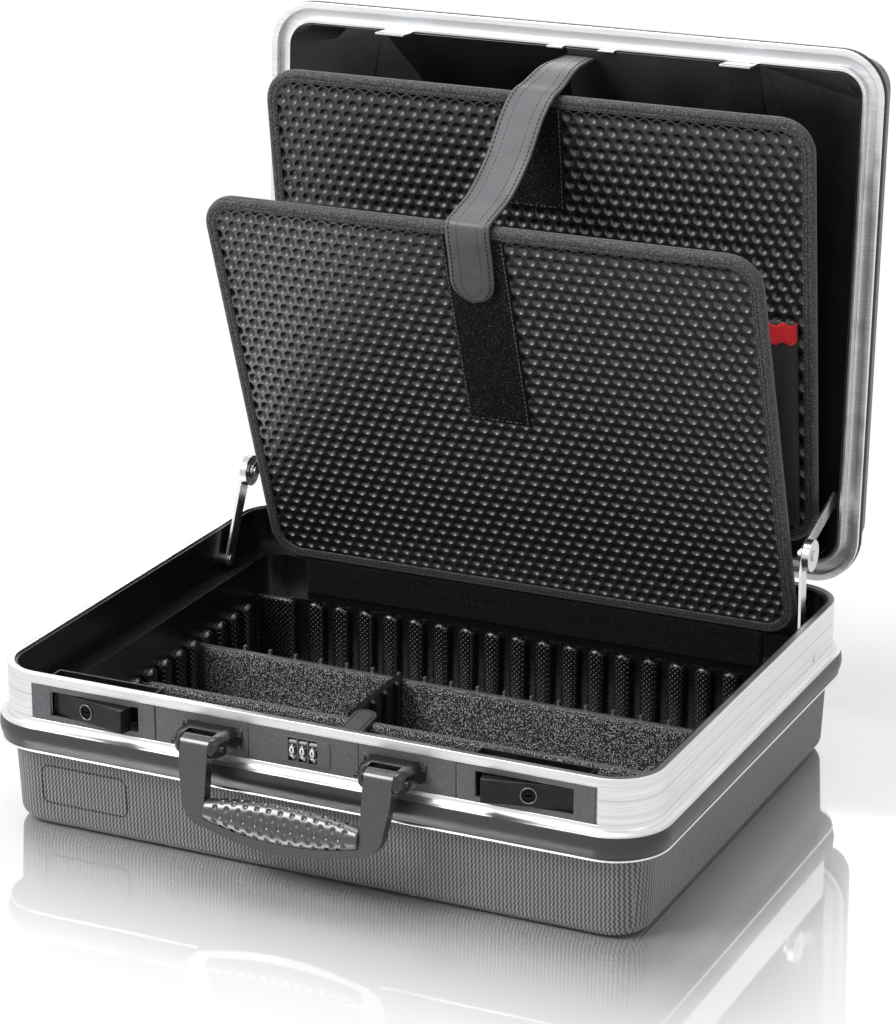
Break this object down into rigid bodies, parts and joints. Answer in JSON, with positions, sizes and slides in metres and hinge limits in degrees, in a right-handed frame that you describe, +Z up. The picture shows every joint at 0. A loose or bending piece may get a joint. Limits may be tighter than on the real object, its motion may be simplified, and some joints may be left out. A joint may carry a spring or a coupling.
{
  "type": "hard tool case",
  "caption": "Open hard tool case with a divided tray, hinged perforated tool boards, a strap, lid stays, lever latches, a number lock and a swinging handle.",
  "frame": {"origin": "centre of the flat underside of the base, on the surface that the case stands on", "axes": "+X along the front to the right, +Y towards the hinges, +Z up"},
  "size_m": [0.4688, 0.4958, 0.4728],
  "materials": {
    "shell_plastic": "dark grey with a fine zigzag relief",
    "frame_aluminium": "brushed, with fine extruded lines",
    "tray_plastic": "finely dotted black moulding",
    "divider_plastic": "satin black",
    "divider_foam": "speckled foam sheet",
    "tab_leather": "stitched black leather",
    "plate_metal": "dark grey satin",
    "lever_metal": "satin black",
    "pin_steel": "plain",
    "key_chrome": "bright ring round a dark slot",
    "housing_plastic": "plain black",
    "handle_plastic": "dark grey satin",
    "grip_rubber": "rows of small pits",
    "wheel_plastic": "black with white digits",
    "hinge_steel": "plain",
    "stay_steel": "bright",
    "liner_plastic": "glossy black",
    "board_plastic": "dark grey with a close hexagonal grid of holes",
    "binding_fabric": "woven edge binding, stitched",
    "pad_fabric": "fuzzy loop pad",
    "pouch_fabric": "woven",
    "elastic_fabric": "red elastic band",
    "strap_leather": "stitched along both edges",
    "strip_fabric": "black velvet"
  },
  "bodies": {
    "base": {"base_shell": "shell_plastic", "base_frame": "frame_aluminium", "base_tray": "tray_plastic", "rear_divider": "divider_plastic", "front_divider": "divider_plastic", "divider_facings": "divider_foam", "cross_divider": "divider_plastic", "divider_tab": "tab_leather", "left_latch_plate": "plate_metal", "right_latch_plate": "plate_metal", "latch_pins": "pin_steel", "latch_housings": "housing_plastic", "left_handle_plate": "plate_metal", "right_handle_plate": "plate_metal", "handle_pins": "pin_steel", "lock_plate": "plate_metal", "lock_housing": "housing_plastic", "wheel_axle": "pin_steel", "hinge_base_leaves": "hinge_steel", "hinge_pins": "pin_steel", "hinge_screws": "pin_steel", "stay_base_posts": "stay_steel", "frame_rivets": "frame_aluminium", "panel_hinge_strip": "strip_fabric"},
    "lid": {"lid_frame": "frame_aluminium", "lid_shell": "shell_plastic", "lid_liner": "liner_plastic", "hinge_lid_leaves": "hinge_steel", "lid_strikes": "pin_steel", "strap_clips": "housing_plastic", "lid_strap": "strap_leather", "lid_strip": "strip_fabric", "stay_lid_posts": "stay_steel"},
    "front_panel": {"front_board": "board_plastic", "front_binding": "binding_fabric", "front_pad": "pad_fabric"},
    "rear_panel": {"rear_board": "board_plastic", "rear_binding": "binding_fabric", "rear_pad": "pad_fabric", "rear_pouches": "pouch_fabric", "rear_elastic": "elastic_fabric"},
    "left_lower_link": {"left_stay_lower": "stay_steel"},
    "left_upper_link": {"left_stay_upper": "stay_steel"},
    "right_lower_link": {"right_stay_lower": "stay_steel"},
    "right_upper_link": {"right_stay_upper": "stay_steel"},
    "handle": {"handle_bail": "handle_plastic", "handle_grip": "grip_rubber"},
    "left_latch": {"left_latch_lever": "lever_metal"},
    "right_latch": {"right_latch_lever": "lever_metal"},
    "left_key": {"left_key_cylinder": "key_chrome"},
    "right_key": {"right_key_cylinder": "key_chrome"},
    "wheel_1": {"number_wheel_1": "wheel_plastic"},
    "wheel_2": {"number_wheel_2": "wheel_plastic"},
    "wheel_3": {"number_wheel_3": "wheel_plastic"}
  },
  "joints": [
    {"name": "lid_hinge", "type": "hinge", "parent": "base", "child": "lid", "pos_m": [0, 0.1906, 0.0992], "axis": [1, 0, 0], "range_deg": [0, 93], "deforming": ["lid_strap"]},
    {"name": "front_board_hinge", "type": "hinge", "parent": "base", "child": "front_panel", "pos_m": [0, 0.16, 0.0774], "axis": [1, 0, 0], "range_deg": [0, 70.9]},
    {"name": "rear_board_hinge", "type": "hinge", "parent": "lid", "child": "rear_panel", "pos_m": [0, 0.2013, 0.134], "axis": [1, 0, 0], "range_deg": [-10.2, 0]},
    {"name": "left_stay_lower_pivot", "type": "hinge", "parent": "base", "child": "left_lower_link", "pos_m": [-0.209, 0.12, 0.084], "axis": [1, 0, 0], "range_deg": [0, 101.38]},
    {"name": "left_stay_middle_pivot", "type": "hinge", "parent": "left_lower_link", "child": "left_upper_link", "pos_m": [-0.209, 0.14349, 0.145], "axis": [1, 0, 0], "range_deg": [-101.93, 0]},
    {"name": "right_stay_lower_pivot", "type": "hinge", "parent": "base", "child": "right_lower_link", "pos_m": [0.209, 0.12, 0.084], "axis": [1, 0, 0], "range_deg": [0, 101.38]},
    {"name": "right_stay_middle_pivot", "type": "hinge", "parent": "right_lower_link", "child": "right_upper_link", "pos_m": [0.209, 0.14349, 0.145], "axis": [1, 0, 0], "range_deg": [-101.93, 0]},
    {"name": "handle_swing", "type": "hinge", "parent": "base", "child": "handle", "pos_m": [0, -0.2025, 0.0905], "axis": [-1, 0, 0], "range_deg": [-12, 85]},
    {"name": "left_latch_pivot", "type": "hinge", "parent": "base", "child": "left_latch", "pos_m": [-0.165, -0.179, 0.0905], "axis": [0, 0, 1], "range_deg": [0, 13]},
    {"name": "left_key_turn", "type": "hinge", "parent": "left_latch", "child": "left_key", "pos_m": [-0.15395, -0.18668, 0.0905], "axis": [-0.225, -0.9744, 0], "range_deg": [0, 90]},
    {"name": "right_latch_pivot", "type": "hinge", "parent": "base", "child": "right_latch", "pos_m": [0.165, -0.179, 0.0905], "axis": [0, 0, -1], "range_deg": [0, 13]},
    {"name": "right_key_turn", "type": "hinge", "parent": "right_latch", "child": "right_key", "pos_m": [0.15395, -0.18668, 0.0905], "axis": [0.225, -0.9744, 0], "range_deg": [0, 90]},
    {"name": "wheel_1_turn", "type": "hinge", "parent": "base", "child": "wheel_1", "pos_m": [-0.0071, -0.176, 0.0905], "axis": [1, 0, 0], "continuous": true},
    {"name": "wheel_2_turn", "type": "hinge", "parent": "base", "child": "wheel_2", "pos_m": [0, -0.176, 0.0905], "axis": [1, 0, 0], "continuous": true},
    {"name": "wheel_3_turn", "type": "hinge", "parent": "base", "child": "wheel_3", "pos_m": [0.0071, -0.176, 0.0905], "axis": [1, 0, 0], "continuous": true}
  ],
  "couplings": [
    {"joint": "front_board_hinge", "follows": "lid_hinge", "ratio": 0.76237},
    {"joint": "rear_board_hinge", "follows": "lid_hinge", "ratio": -0.10968},
    {"joint": "left_stay_lower_pivot", "follows": "lid_hinge", "ratio": 1.0901},
    {"joint": "left_stay_middle_pivot", "follows": "lid_hinge", "ratio": -1.096},
    {"joint": "right_stay_lower_pivot", "follows": "lid_hinge", "ratio": 1.0901},
    {"joint": "right_stay_middle_pivot", "follows": "lid_hinge", "ratio": -1.096}
  ]
}
